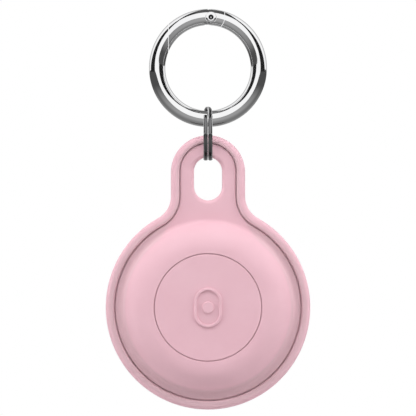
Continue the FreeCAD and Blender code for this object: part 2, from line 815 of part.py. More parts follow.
for item in doc.Objects:
    if "Invalid" in item.State or "Error" in item.State:
        raise RuntimeError("%s failed: %s" % (item.Name, item.State))
os.makedirs("parts", exist_ok=True)
for label, item in sub_parts.items():
    if item.Shape.isNull() or not item.Shape.isValid():
        raise RuntimeError("%s has no valid shape" % label)
    print("%-22s solids %d, volume %.2f mm3" % (label, len(item.Shape.Solids), item.Shape.Volume))
    item.Shape.exportStep("parts/%s.step" % label)
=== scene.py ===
import json
import math

import bmesh
import bpy
from mathutils import Matrix, Vector

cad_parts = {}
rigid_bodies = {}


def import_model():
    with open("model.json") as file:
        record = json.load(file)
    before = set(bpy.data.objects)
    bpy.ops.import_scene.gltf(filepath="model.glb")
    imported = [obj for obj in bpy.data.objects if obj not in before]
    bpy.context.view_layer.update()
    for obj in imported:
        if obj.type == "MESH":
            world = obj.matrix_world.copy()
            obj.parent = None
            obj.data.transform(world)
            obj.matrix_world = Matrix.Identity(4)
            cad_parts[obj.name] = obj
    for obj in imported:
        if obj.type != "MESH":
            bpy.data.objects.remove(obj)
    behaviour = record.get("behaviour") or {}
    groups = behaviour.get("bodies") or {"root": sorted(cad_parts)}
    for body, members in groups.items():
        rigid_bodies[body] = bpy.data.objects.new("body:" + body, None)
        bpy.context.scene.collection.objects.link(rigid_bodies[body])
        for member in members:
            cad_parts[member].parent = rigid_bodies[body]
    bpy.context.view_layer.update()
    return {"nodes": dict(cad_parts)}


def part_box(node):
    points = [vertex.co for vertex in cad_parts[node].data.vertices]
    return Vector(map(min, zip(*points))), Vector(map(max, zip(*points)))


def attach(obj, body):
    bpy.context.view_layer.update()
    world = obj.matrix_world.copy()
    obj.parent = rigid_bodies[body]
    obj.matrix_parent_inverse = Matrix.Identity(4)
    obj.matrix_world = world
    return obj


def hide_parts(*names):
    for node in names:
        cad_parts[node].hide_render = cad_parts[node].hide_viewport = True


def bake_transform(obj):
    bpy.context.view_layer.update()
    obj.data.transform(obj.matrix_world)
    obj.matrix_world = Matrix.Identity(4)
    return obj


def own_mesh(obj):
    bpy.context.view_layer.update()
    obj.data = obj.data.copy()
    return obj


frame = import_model()
nodes = frame["nodes"]
mm = 0.001                                  # pieces are drawn in millimetres and scaled at the end
acrossFront = (0, 1, 0)                     # turns in the front view, anticlockwise
acrossTop = (0, 0, -1)                      # turns in a section seen from above, anticlockwise
print("frame loaded:", len(nodes), "nodes")


def boxOf(node):                            # corners of a CAD node in millimetres
    low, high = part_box(node)
    return low / mm, high / mm


# Main places, read off the frame
rearLow, rearHigh = boxOf("rear_shell")
coverLow, coverHigh = boxOf("front_cover")
discLow, discHigh = boxOf("centre_disc")

caseZ = (discLow.z + discHigh.z) / 2        # middle of the round part
caseRadius = rearHigh.x
coverInset = rearHigh.x - coverHigh.x       # rim and seam together
layer = -rearLow.y                          # from the parting plane to a layer's flat face
rearFace = rearHigh.y
frontFace = -coverLow.y
flexZ = boxOf("front_cover_neck")[0].z      # bottom of the cover's neck, where the cuts across the neck gather
tagRadius = boxOf("tag_front_shell")[1].x

weld = 0.002                                # points nearer than this become one
plateCorners = 40                           # a face with more corners than this is a plate


# Drawing in edit mode: a pen is one vertex, extruded along lines and spun along arcs
def newPiece(name):
    bpy.ops.object.select_all(action="DESELECT")
    bpy.ops.mesh.primitive_plane_add(size=1)
    piece = bpy.context.object
    piece.name = name
    piece.data.name = name
    bpy.ops.object.mode_set(mode="EDIT")
    bpy.ops.mesh.delete(type="VERT")
    return piece


def pen(start):
    bpy.ops.mesh.select_all(action="DESELECT")
    bpy.ops.mesh.primitive_plane_add(size=0.1, location=start)
    bpy.ops.mesh.merge(type="CENTER")


def draw(start, moves, axis):               # a move is a point, or (centre, degrees, steps) for an arc
    pen(start)
    here = Vector(start)
    for move in moves:
        if len(move) == 3 and isinstance(move[0], Vector):
            centre, degrees, steps = move
            bpy.ops.mesh.spin(steps=steps, angle=math.radians(degrees), center=centre, axis=axis)
            turn = Matrix.Rotation(-math.radians(degrees), 3, axis)
            here = centre + turn @ (here - centre)
        else:
            there = Vector(move)
            bpy.ops.mesh.extrude_vertices_move(TRANSFORM_OT_translate={"value": there - here})
            here = there
    bpy.ops.mesh.select_linked()


def faceForward():                          # the new face looks to the front
    mesh = bmesh.from_edit_mesh(bpy.context.edit_object.data)
    if any(f.select and f.normal.y > 0 for f in mesh.faces):
        bpy.ops.mesh.flip_normals()


def face(start, moves):                     # a closed outline in the front view, filled
    draw(start, moves, acrossFront)
    bpy.ops.mesh.remove_doubles(threshold=weld)
    bpy.ops.mesh.edge_face_add()
    faceForward()


# A section turned about an axis to the front
def revolve(start, moves, steps=224, centre=(0, 0, caseZ)):
    draw(start, moves, acrossTop)
    bpy.ops.mesh.spin(steps=steps, angle=2 * math.pi, center=centre, axis=acrossFront)
    bpy.ops.mesh.select_linked()
    bpy.ops.mesh.remove_doubles(threshold=weld)


def pick(kind, test):                       # selects the faces or the edges that pass, and nothing else
    bpy.ops.mesh.select_mode(type=kind)
    bpy.ops.mesh.select_all(action="DESELECT")
    mesh = bmesh.from_edit_mesh(bpy.context.edit_object.data)
    for item in mesh.faces if kind == "FACE" else mesh.edges:
        if test(item):
            item.select_set(True)
    mesh.select_flush_mode()
    bmesh.update_edit_mesh(bpy.context.edit_object.data)


def atDepth(point, depth):
    return abs(point.y - depth) < weld / 2


def pickPlate(depth, looks=0):              # the wide face at this depth, looks is +1 for one to the rear
    pick("FACE", lambda f: len(f.verts) > plateCorners and atDepth(f.calc_center_median(), depth)
         and f.normal.y * looks >= 0)


def cutPlate(depth, looks=0):               # takes that face out, so that its edge is open
    pickPlate(depth, looks)
    bpy.ops.mesh.delete(type="ONLY_FACE")
    bpy.ops.mesh.select_mode(type="VERT")


def fillPlate(depth, reach=100.0):          # joins the open edges at this depth and within reach
    def near(point):
        return atDepth(point, depth) and math.hypot(point.x, point.z - caseZ) < reach

    pick("EDGE", lambda e: e.is_boundary and all(near(v.co) for v in e.verts))
    bpy.ops.mesh.fill(use_beauty=True)
    bpy.ops.mesh.select_mode(type="VERT")


def push(distance):                         # extrudes the picked face along the depth
    bpy.ops.mesh.extrude_region_move(TRANSFORM_OT_translate={"value": (0, distance, 0)})


def inset(thickness, depth=0.0):
    bpy.ops.mesh.inset(thickness=thickness, depth=depth)


def quarter(steps):                         # pairs of angles along a quarter turn
    angles = [math.pi / 2 * step / steps for step in range(steps + 1)]
    return zip(angles, angles[1:])


def roundOver(radius, steps):               # from an upright wall over to the picked face
    for a, b in quarter(steps):
        inset(radius * (math.cos(a) - math.cos(b)), radius * (math.sin(b) - math.sin(a)))


def roundInto(radius, steps):               # from the face down into an upright wall
    for a, b in quarter(steps):
        inset(radius * (math.sin(b) - math.sin(a)), radius * (math.cos(b) - math.cos(a)))


# Leaves edit mode with the piece in metres, smooth shaded and painted
def finishPiece(piece, material, mirrored=True, creaseDegrees=38):
    bpy.ops.mesh.select_all(action="SELECT")
    bpy.ops.mesh.remove_doubles(threshold=weld / 2)
    bpy.ops.mesh.normals_make_consistent(inside=False)
    bpy.ops.transform.resize(value=(mm, mm, mm), center_override=(0, 0, 0))
    bpy.ops.object.mode_set(mode="OBJECT")
    bpy.ops.object.shade_smooth_by_angle(angle=math.radians(creaseDegrees))
    piece.data.materials.clear()
    piece.data.materials.append(material)
    piece.visible_glossy = mirrored
    print(piece.name, "made:", len(piece.data.polygons), "faces")


# Materials
class Signal:                               # a number that varies over a surface
    def __init__(self, paint, socket):
        self.paint = paint
        self.socket = socket

    def maths(self, operation, first, second=0.0):
        made = self.paint.add("ShaderNodeMath", {"operation": operation}, {0: first, 1: second})
        return Signal(self.paint, made.outputs[0])

    def __add__(self, other):
        return self.maths("ADD", self, other)

    def __sub__(self, other):
        return self.maths("SUBTRACT", self, other)

    def __rsub__(self, other):
        return self.maths("SUBTRACT", other, self)

    def __mul__(self, other):
        return self.maths("MULTIPLY", self, other)

    def __abs__(self):
        return self.maths("ABSOLUTE", self)

    __radd__ = __add__
    __rmul__ = __mul__


class Paint:                                # one material and its nodes
    def __init__(self, name, **constants):               # constants by socket name, _ for a space
        self.material = bpy.data.materials.new(name)
        self.material.use_nodes = True
        self.tree = self.material.node_tree
        self.shader = next(n for n in self.tree.nodes if n.type == "BSDF_PRINCIPLED")
        self.spot = self.add("ShaderNodeTexCoord").outputs["Object"]
        for socket, constant in constants.items():
            self.shader.inputs[socket.replace("_", " ")].default_value = constant

    def add(self, kind, settings=None, sockets=None):
        node = self.tree.nodes.new(kind)
        for name, setting in (settings or {}).items():
            setattr(node, name, setting)
        for name, given in (sockets or {}).items():
            given = given.socket if isinstance(given, Signal) else given
            if isinstance(given, bpy.types.NodeSocket):
                self.tree.links.new(given, node.inputs[name])
            else:
                node.inputs[name].default_value = given
        return node

    def noise(self, size, detail=3.0, roughness=0.5):    # size of one patch in millimetres
        made = self.add("ShaderNodeTexNoise", {}, {"Vector": self.spot, "Scale": 1 / (size * mm),
                                                   "Detail": detail, "Roughness": roughness})
        return Signal(self, made.outputs["Fac"])

    def part(self, axis):                                # one of the place's three numbers
        return Signal(self, self.add("ShaderNodeSeparateXYZ", {}, {0: self.spot}).outputs[axis])

    def mark(self, name):                                # on the piece's own points, 0 where it has none
        return Signal(self, self.add("ShaderNodeAttribute", {"attribute_name": name}).outputs["Fac"])

    def limits(self, signal, low, high):                 # 0 below low, 1 above high
        made = self.add("ShaderNodeMapRange", {"interpolation_type": "SMOOTHSTEP"},
                        {"Value": signal, "From Min": low, "From Max": high})
        return Signal(self, made.outputs["Result"])

    def blend(self, amount, first, second):              # two colours, on the node's colour sockets
        made = self.add("ShaderNodeMix", {"data_type": "RGBA"}, {0: amount, 6: first, 7: second})
        return made.outputs[2]

    def give(self, name, value):
        value = value.socket if isinstance(value, Signal) else value
        self.tree.links.new(value, self.shader.inputs[name])

    def bump(self, height, strength, depth):             # depth in millimetres
        made = self.add("ShaderNodeBump", {}, {"Height": height, "Strength": strength,
                                               "Distance": depth * mm})
        self.give("Normal", made.outputs["Normal"])


class Sky(Paint):                           # the world and its nodes
    def __init__(self, name):
        world = bpy.data.worlds.new(name)
        bpy.context.scene.world = world
        world.use_nodes = True
        self.tree = world.node_tree
        self.shader = next(n for n in self.tree.nodes if n.type == "BACKGROUND")
        self.spot = self.add("ShaderNodeTexCoord").outputs["Generated"]


def rgba(red, green, blue):
    return (red, green, blue, 1.0)


def grey(level):
    return rgba(level, level, level)


silicone = {
    "colour": rgba(0.762, 0.480, 0.544),
    "deeper": rgba(0.742, 0.458, 0.522),
    "creaseShadeColour": rgba(0.69, 0.462, 0.508),     # painted shade beside the seam, darker and greyer
    "seamLightColour": rgba(0.81, 0.62, 0.665),        # painted light down in the seam, lighter than the rest
    "cloudSize": 9.0,                       # slow change of tint
    "cloudRange": (0.3, 0.7),
    "grainSize": 0.09,                      # fine moulded texture
    "grainStrength": 0.35,
    "grainDepth": 0.003,
    "roughness": 0.5,
    "grainRoughness": 0.10,
    "cloudRoughness": 0.05,
}


def siliconeFinish():
    look = silicone
    paint = Paint("pinkSilicone", IOR=1.41, Specular_IOR_Level=0.2)
    cloud = paint.noise(look["cloudSize"], detail=4.0)
    grain = paint.noise(look["grainSize"], detail=2.0)
    colour = paint.blend(paint.limits(cloud, *look["cloudRange"]), look["colour"], look["deeper"])
    # painted shade beside the seam
    colour = paint.blend(paint.mark("creaseShade"), colour, look["creaseShadeColour"])
    # painted light down in the seam
    paint.give("Base Color", paint.blend(paint.mark("seam"), colour, look["seamLightColour"]))
    matte = look["roughness"] + look["grainRoughness"] * (grain - 0.5) + look["cloudRoughness"] * cloud
    paint.give("Roughness", matte)
    paint.bump(grain, look["grainStrength"], look["grainDepth"])
    return paint.material


plating = {
    "colour": rgba(0.93, 0.93, 0.935),
    "duller": rgba(0.89, 0.89, 0.90),
    "hazeSize": 3.5,                        # patches of polishing haze
    "hazeRange": (0.35, 0.75),
    "clear": 0.03,                          # roughness outside the haze
    "blurred": 0.04,                        # added in it
    "blurRange": (0.4, 0.8),
    "rippleSize": 0.8,                      # slight waviness under the plate
    "rippleStrength": 0.3,
    "rippleDepth": 0.0012,
}


def chromeFinish():
    look = plating
    paint = Paint("chromePlate", Metallic=1.0)
    haze = paint.noise(look["hazeSize"], detail=4.0)
    ripple = paint.noise(look["rippleSize"], detail=1.0)
    tint = paint.limits(haze, *look["hazeRange"])
    blur = paint.limits(haze, *look["blurRange"])
    paint.give("Base Color", paint.blend(tint, look["colour"], look["duller"]))
    paint.give("Roughness", look["clear"] + look["blurred"] * blur)
    paint.bump(ripple, look["rippleStrength"], look["rippleDepth"])
    return paint.material


plainMetal = {
    "hazeGrains": 20,                       # size of a patch of haze, in grains
    "grainRoughness": 0.16,
    "grainStrength": 0.2,
    "grainDepth": 0.004,
}


def metalFinish(name, bright, dull, roughness, grainSize=0.25):
    look = plainMetal
    paint = Paint(name, Metallic=1.0)
    grain = paint.noise(grainSize, detail=5.0, roughness=0.6)
    haze = paint.noise(grainSize * look["hazeGrains"])
    paint.give("Base Color", paint.blend(haze, bright, dull))
    paint.give("Roughness", roughness + look["grainRoughness"] * (grain - 0.5))
    paint.bump(grain, look["grainStrength"], look["grainDepth"])
    return paint.material


plainPlastic = {
    "hazeSize": 7.0,
    "hazeRoughness": 0.04,
    "grainRoughness": 0.08,
    "grainStrength": 0.3,
}


def plasticFinish(name, colour, shade, roughness, grainSize, grainDepth):
    look = plainPlastic
    paint = Paint(name, IOR=1.49)
    grain = paint.noise(grainSize)
    haze = paint.noise(look["hazeSize"])
    paint.give("Base Color", paint.blend(haze, colour, shade))
    matte = roughness + look["grainRoughness"] * (grain - 0.5) + look["hazeRoughness"] * haze
    paint.give("Roughness", matte)
    paint.bump(grain, look["grainStrength"], grainDepth)
    return paint.material


pinkSilicone = siliconeFinish()
chromePlate = chromeFinish()
springSteel = metalFinish("springSteel", rgba(0.62, 0.61, 0.60), rgba(0.54, 0.53, 0.52), 0.28, 0.1)
cellSteel = metalFinish("cellSteel", grey(0.72), rgba(0.64, 0.64, 0.65), 0.22)
magnetPlate = metalFinish("magnetPlate", rgba(0.52, 0.51, 0.50), rgba(0.45, 0.44, 0.44), 0.3)
copperWire = metalFinish("copperWire", rgba(0.78, 0.40, 0.22), rgba(0.66, 0.32, 0.17), 0.32, 0.12)
whiteGloss = plasticFinish("whiteGloss", rgba(0.80, 0.80, 0.79), grey(0.77), 0.14, 0.3, 0.001)
darkMoulded = plasticFinish("darkMoulded", rgba(0.045, 0.045, 0.05), rgba(0.03, 0.03, 0.033),
                            0.48, 0.12, 0.008)
boardGreen = plasticFinish("boardGreen", rgba(0.012, 0.13, 0.06), rgba(0.01, 0.10, 0.045),
                           0.36, 0.2, 0.004)
print("materials made")


# Outlines of the case
caseShape = {
    "neckRadius": 7.55,
    "neckFillet": 5.1,
    "barHeight": 4.48,                      # above the slot
    "slotWidth": 5.72,
    "slotLength": 8.77,
    "slotRound": 0.85,
    "slotSteps": 7,
    "neckSteps": 28,
    "filletSteps": 20,
    "discSteps": 190,
    "footSteps": 8,
    "domeSteps": 26,
    "seat": 0.05,                           # flat strip that keeps the shading of a flat face even
}
neckZ = rearHigh.z - caseShape["neckRadius"]     # middle of the neck's round top


def ramp(value, low, high):                 # 0 below low, 1 above high, smooth between
    part = min(max((value - low) / (high - low), 0.0), 1.0)
    return part * part * (3 - 2 * part)


def between(pair, part):                    # from the first number to the second
    first, second = pair
    return first + (second - first) * part


def keyhole(discInset, neckInset):          # half width of the neck, then the fillet's radius and middle
    side = caseShape["neckRadius"] - neckInset
    fillet = caseShape["neckFillet"] + (discInset + neckInset) / 2
    filletX = side + fillet
    filletZ = caseZ + math.sqrt((caseRadius - discInset + fillet) ** 2 - filletX ** 2)
    return side, fillet, filletX, filletZ


def keyholeFace(discInset, neckInset, depth, lift=0.0):    # the case's outline, from the neck's top
    side, fillet, filletX, filletZ = keyhole(discInset, neckInset)
    neckSteps = caseShape["neckSteps"]
    filletSteps = caseShape["filletSteps"]
    lean = math.degrees(math.atan2(filletZ - caseZ, filletX))
    top = Vector((0, depth, neckZ + lift))
    face((0, depth, neckZ + lift + side), [
        (top, -90, neckSteps),
        (side, depth, filletZ),
        (Vector((filletX, depth, filletZ)), lean, filletSteps),
        (Vector((0, depth, caseZ)), -(180 + 2 * lean), caseShape["discSteps"]),
        (Vector((-filletX, depth, filletZ)), lean, filletSteps),
        (-side, depth, neckZ + lift),
        (top, -90, neckSteps),
    ])


def stadiumFace(width, height, middleZ, depth, steps=36):
    radius = width / 2
    rise = height / 2 - radius
    upper = Vector((0, depth, middleZ + rise))
    lower = Vector((0, depth, middleZ - rise))
    face((radius, depth, middleZ - rise), [
        (radius, depth, middleZ + rise),
        (upper, 180, steps),
        (-radius, depth, middleZ - rise),
        (lower, 180, steps),
    ])


def slotHole(depth, inward):                # half of the slot, rounded where it meets the outer face
    seat = caseShape["seat"]
    reach = caseShape["slotRound"]
    grown = 2 * (reach + seat)
    middleZ = rearHigh.z - caseShape["barHeight"] - caseShape["slotLength"] / 2
    stadiumFace(caseShape["slotWidth"] + grown, caseShape["slotLength"] + grown, middleZ, depth)
    if inward < 0:
        bpy.ops.mesh.flip_normals()
    inset(seat)
    roundInto(reach, caseShape["slotSteps"])
    push(inward * (abs(depth) - reach))
    cutPlate(0.0)


# Rear layer: rim, recess, seal channel, tracker pocket, back dome
rearShape = {
    "rimRound": 0.9,
    "rimWidth": 1.78,
    "neckRim": 1.735,
    "neckLift": 0.21,                       # the rim is narrower over the neck's top
    "seamRound": 0.45,
    "channelRadius": 0.75,
    "channelCircle": 17.55,
    "domeFoot": 18.0,
    "domeFlat": 12.0,
    "footBlend": 0.8,                       # hollow between the dome and the flange
    "pocketBand": 1.5,
    "pocketRadius": tagRadius + 0.05,
    "pocketFlat": 12.95,
    "pocketDeep": 4.05,
    "rimSteps": 9,
    "seamSteps": 5,
    "channelSteps": 14,
    "bowlSteps": 12,
}
# Painted shade beside the seam and painted light down in it: each pair is for the round part and for the
# neck
seamShading = {
    "inside": (1.8, 0.15),                  # reach from the rim's inner wall
    "outside": (0.8, 0.4),
    "fade": (0.7, 0.3),
    "neckRange": (13.0, 18.0),              # above the case's middle
    "seamTop": 0.35,                        # below the front layer's face
    "seamRange": (0.3, 0.45),               # off the rim's inner wall
}


def fromSeam(x, z):                         # distance out from the rim's inner wall, negative inside it
    side, fillet, filletX, filletZ = keyhole(rearShape["rimWidth"], rearShape["neckRim"])
    x = abs(x)
    if z > filletZ:
        return math.hypot(x, max(z - neckZ - rearShape["neckLift"], 0.0)) - side
    if (z - caseZ) * filletX > x * (filletZ - caseZ):
        return fillet - math.hypot(x - filletX, z - filletZ)
    return math.hypot(x, z - caseZ) - caseRadius + rearShape["rimWidth"]


def markSeamShading(piece):                        # painted shade and painted light along the seam, on the front of a finished piece
    plate = layer - frontShape["sunk"]
    creaseShade = piece.data.attributes.new("creaseShade", "FLOAT", "POINT")
    seam = piece.data.attributes.new("seam", "FLOAT", "POINT")
    for index, vertex in enumerate(piece.data.vertices):
        x, y, z = vertex.co / mm
        if y > weld / 2:
            continue
        out = fromSeam(x, z)
        neck = ramp(z - caseZ, *seamShading["neckRange"])
        inside, outside, fade = (between(seamShading[name], neck) for name in ("inside", "outside", "fade"))
        band = (1 - ramp(out, outside, outside + fade)) * (1 - ramp(-out, inside, inside + fade))
        deep = ramp(plate + y, 0.0, seamShading["seamTop"])
        seam.data[index].value = deep * (1 - ramp(abs(out), *seamShading["seamRange"]))
        creaseShade.data[index].value = band * (1 - deep)


def dropArc(run, rise):                     # radius of an arc that leaves a flat and drops by rise over run
    return (run ** 2 + rise ** 2) / (2 * rise)


def domeSection(shape, foot, top, back):    # from the flange up to the flat top, back is +1 for the rear
    radius = dropArc(shape["domeFoot"] - shape["domeFlat"], top - foot)
    middle = Vector((shape["domeFlat"], back * (top - radius), caseZ))
    blend = shape["footBlend"]
    height = foot + blend - (top - radius)
    reach = math.sqrt((radius + blend) ** 2 - height ** 2)
    hollow = Vector((shape["domeFlat"] + reach, back * (foot + blend), caseZ))     # the foot's centre
    sweep = math.degrees(math.atan2(reach, height))
    start = (hollow.x + caseShape["seat"], back * foot, caseZ)
    moves = [
        (hollow.x, back * foot, caseZ),
        (hollow, -back * sweep, caseShape["footSteps"]),
        (middle, back * sweep, caseShape["domeSteps"]),
    ]
    return start, moves


def makeRearLayer():
    shape = rearShape
    piece = newPiece("rearLayer")
    # Outer wall and rim
    edge = layer - shape["rimRound"]
    keyholeFace(0.0, 0.0, edge)
    push(-2 * edge)
    roundOver(shape["rimRound"], shape["rimSteps"])
    inset(caseShape["seat"])
    cutPlate(-layer)
    # Recess for the front layer
    mouth = shape["seamRound"] + caseShape["seat"]
    keyholeFace(shape["rimWidth"] - mouth, shape["neckRim"] - mouth, -layer, shape["neckLift"])
    inset(caseShape["seat"])
    roundInto(shape["seamRound"], shape["seamSteps"])
    push(layer - shape["seamRound"])
    cutPlate(0.0)
    # Back, with the slot and the dome
    pickPlate(edge)
    roundOver(shape["rimRound"], shape["rimSteps"])
    inset(caseShape["seat"])
    cutPlate(layer)
    slotHole(layer, -1)
    start, moves = domeSection(shape, layer, rearFace, 1)
    revolve(start, moves + [(0, rearFace, caseZ)])
    # Seal channel and pocket
    circle = shape["channelCircle"]
    groove = shape["channelRadius"]
    pocket = shape["pocketRadius"]
    deep = shape["pocketDeep"]
    bowl = dropArc(pocket - shape["pocketFlat"], deep - shape["pocketBand"])
    bowlMiddle = Vector((shape["pocketFlat"], deep - bowl, caseZ))
    bowlSweep = math.degrees(math.acos((deep - bowl - shape["pocketBand"]) / -bowl))
    revolve((circle + groove + caseShape["seat"], 0, caseZ), [
        (circle + groove, 0, caseZ),
        (Vector((circle, 0, caseZ)), 180, shape["channelSteps"]),
        (pocket, 0, caseZ),
        (pocket, shape["pocketBand"], caseZ),
        (bowlMiddle, bowlSweep, shape["bowlSteps"]),
        (0, deep, caseZ),
    ])
    for depth in (-layer, 0.0, layer):      # flat faces between all these
        fillPlate(depth)
    finishPiece(piece, pinkSilicone, mirrored=False)
    markSeamShading(piece)
    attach(piece, "holder")
    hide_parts("rear_shell")


# Front layer: neck, flange, dome with the disc's recess, cavity and seal bead, all one moulding
frontShape = {
    "discInset": coverInset - 0.11,         # the seam is a little wider on the neck
    "neckInset": coverInset - 0.1,
    "neckLift": 0.28,
    "edgeRound": 0.32,
    "sunk": 0.5,                            # below the rim
    "domeFoot": 17.35,
    "domeFlat": 11.8,
    "footBlend": 0.9,
    "recessRadius": discHigh.x - 0.03,
    "recessDepth": 0.8,
    "recessRound": 0.12,
    "beadRadius": 0.5,
    "beadCircle": 17.55,
    "cavityRadius": 16.3,
    "cavityFlat": 11.0,
    "cavityDeep": 4.3,
    "bendAbove": 0.7,                       # the cuts across the neck start this far above the flex line
    "bendBelow": 1.7,                       # and end this far below it
    "bendCuts": 11,
    "edgeSteps": 5,
    "recessSteps": 4,
    "beadSteps": 12,
    "bowlSteps": 18,
}


def makeFrontLayer():
    shape = frontShape
    piece = newPiece("frontLayer")
    # Neck and flange
    plate = layer - shape["sunk"]
    keyholeFace(shape["discInset"], shape["neckInset"], 0.0, shape["neckLift"])
    push(-(plate - shape["edgeRound"]))
    roundOver(shape["edgeRound"], shape["edgeSteps"])
    inset(caseShape["seat"])
    cutPlate(-plate)
    cutPlate(0.0)
    slotHole(-plate, 1)
    # Dome and the disc's recess
    start, moves = domeSection(shape, plate, frontFace, -1)
    lip = shape["recessRadius"]
    soft = shape["recessRound"]
    recess = -(frontFace - shape["recessDepth"])
    revolve(start, moves + [
        (lip + soft + caseShape["seat"], -frontFace, caseZ),
        (lip + soft, -frontFace, caseZ),
        (Vector((lip + soft, -frontFace + soft, caseZ)), -90, shape["recessSteps"]),
        (lip, recess, caseZ),
        (0, recess, caseZ),
    ])
    # Seal bead and cavity
    circle = shape["beadCircle"]
    bead = shape["beadRadius"]
    mouth = shape["cavityRadius"]
    deep = shape["cavityDeep"]
    bowl = dropArc(mouth - shape["cavityFlat"], deep)
    bowlMiddle = Vector((shape["cavityFlat"], -deep + bowl, caseZ))
    bowlSweep = math.degrees(math.acos((bowl - deep) / bowl))
    revolve((circle + bead + caseShape["seat"], 0, caseZ), [
        (circle + bead, 0, caseZ),
        (Vector((circle, 0, caseZ)), 180, shape["beadSteps"]),
        (mouth, 0, caseZ),
        (bowlMiddle, -bowlSweep, shape["bowlSteps"]),
        (0, -deep, caseZ),
    ])
    fillPlate(0.0)
    fillPlate(-plate)
    # Cuts across the neck, close together round the flex line
    bendTop = flexZ + shape["bendAbove"]
    bendEnd = flexZ - shape["bendBelow"]
    for cut in range(shape["bendCuts"] + 1):
        bpy.ops.mesh.select_all(action="SELECT")
        level = bendTop + (bendEnd - bendTop) * cut / shape["bendCuts"]
        bpy.ops.mesh.bisect(plane_co=(0, 0, level), plane_no=(0, 0, 1))
    finishPiece(piece, pinkSilicone, mirrored=False)
    markSeamShading(piece)
    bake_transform(piece)
    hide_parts("front_cover", "front_cover_neck")


# Flush disc with a plain raised loop and pip
discShape = {
    "radius": discHigh.x - 0.15,            # leaves a hairline in the recess
    "edgeRound": 0.14,
    "thickness": 0.8,
    "loopWidth": 5.7,
    "loopHeight": 8.1,
    "loopBand": 0.6,
    "relief": 0.35,
    "reliefRound": 0.16,
    "pipDiameter": 2.4,
    "edgeSteps": 5,
    "loopSteps": 30,
}


def raisedLoop():                           # an upright stadium, open in the middle
    shape = discShape
    soft = shape["reliefRound"]
    wall = shape["relief"] - soft
    stadiumFace(shape["loopWidth"], shape["loopHeight"], caseZ, -frontFace, shape["loopSteps"])
    push(-wall)
    roundOver(soft, shape["edgeSteps"])
    inset(shape["loopBand"] - 2 * soft)
    roundInto(soft, shape["edgeSteps"])
    push(wall)
    bpy.ops.mesh.delete(type="ONLY_FACE")


def raisedPip():                            # a round button
    shape = discShape
    soft = shape["reliefRound"]
    stadiumFace(shape["pipDiameter"], shape["pipDiameter"], caseZ, -frontFace, shape["loopSteps"])
    push(soft - shape["relief"])
    roundOver(soft, shape["edgeSteps"])
    cutPlate(-frontFace, 1)


def makeCentreDisc():
    shape = discShape
    piece = newPiece("centreDisc")
    radius = shape["radius"]
    soft = shape["edgeRound"]
    back = -(frontFace - shape["thickness"])
    revolve((0, back, caseZ), [
        (radius, back, caseZ),
        (radius, -frontFace + soft, caseZ),
        (Vector((radius - soft, -frontFace + soft, caseZ)), -90, shape["edgeSteps"]),
        (radius - soft - caseShape["seat"], -frontFace, caseZ),
    ])
    raisedPip()
    raisedLoop()
    fillPlate(-frontFace, shape["loopHeight"])      # from the pip out to the loop
    cutPlate(-frontFace, 1)
    fillPlate(-frontFace)                           # and on to the disc's edge
    finishPiece(piece, pinkSilicone, mirrored=False)
    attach(piece, "cover")
    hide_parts("centre_disc")


makeRearLayer()
makeFrontLayer()
makeCentreDisc()

# Hinge rivet: a head on each side with a hollow pressed into it
rivetLow, rivetHigh = boxOf("hinge_rivet")
rivetShape = {
    "flatWidth": 1.5,
    "headSlope": 10.0,                      # degrees, from the flat out to the edge
    "headRound": 0.08,
    "hollowWidth": 1.1,
    "hollowDeep": 0.36,
    "headHeight": 0.3,
    "shaft": 1.2,
    "hollowSteps": 10,
    "edgeSteps": 5,
    "turnSteps": 72,
    # painted dark reflection in the hollow
    "hollowShade": rgba(0.10, 0.10, 0.105),
    "hollowShadeRange": (0.4, 0.82),               # fully dark between these, of the hollow's radius
    "hazeSize": plating["hazeSize"] / 10,
    "clear": 0.05,                          # roughness outside the painted shade
    "hollowShadeRoughness": 0.2,                          # added in it
}


def rivetFinish(middle, shape):             # painted dark reflection in the hollow, round a bright middle
    paint = Paint("rivetPlate", Metallic=1.0)
    flat = paint.add("ShaderNodeVectorMath", {"operation": "MULTIPLY"}, {0: paint.spot, 1: (1, 0, 1)})
    apart = paint.add("ShaderNodeVectorMath", {"operation": "DISTANCE"},
                      {0: flat.outputs["Vector"], 1: (middle.x * mm, 0, middle.z * mm)})
    off = Signal(paint, apart.outputs["Value"])
    edge = shape["hollowWidth"] / 2 * mm
    inner, outer = shape["hollowShadeRange"]
    hollowShade = paint.limits(off, 0.0, inner * edge) * (1 - paint.limits(off, outer * edge, edge))
    haze = paint.noise(shape["hazeSize"])
    bright = paint.blend(haze, plating["colour"], plating["duller"])
    # painted dark reflection in the hollow
    paint.give("Base Color", paint.blend(hollowShade, bright, shape["hollowShade"]))
    paint.give("Roughness", shape["clear"] + shape["hollowShadeRoughness"] * hollowShade)
    return paint.material


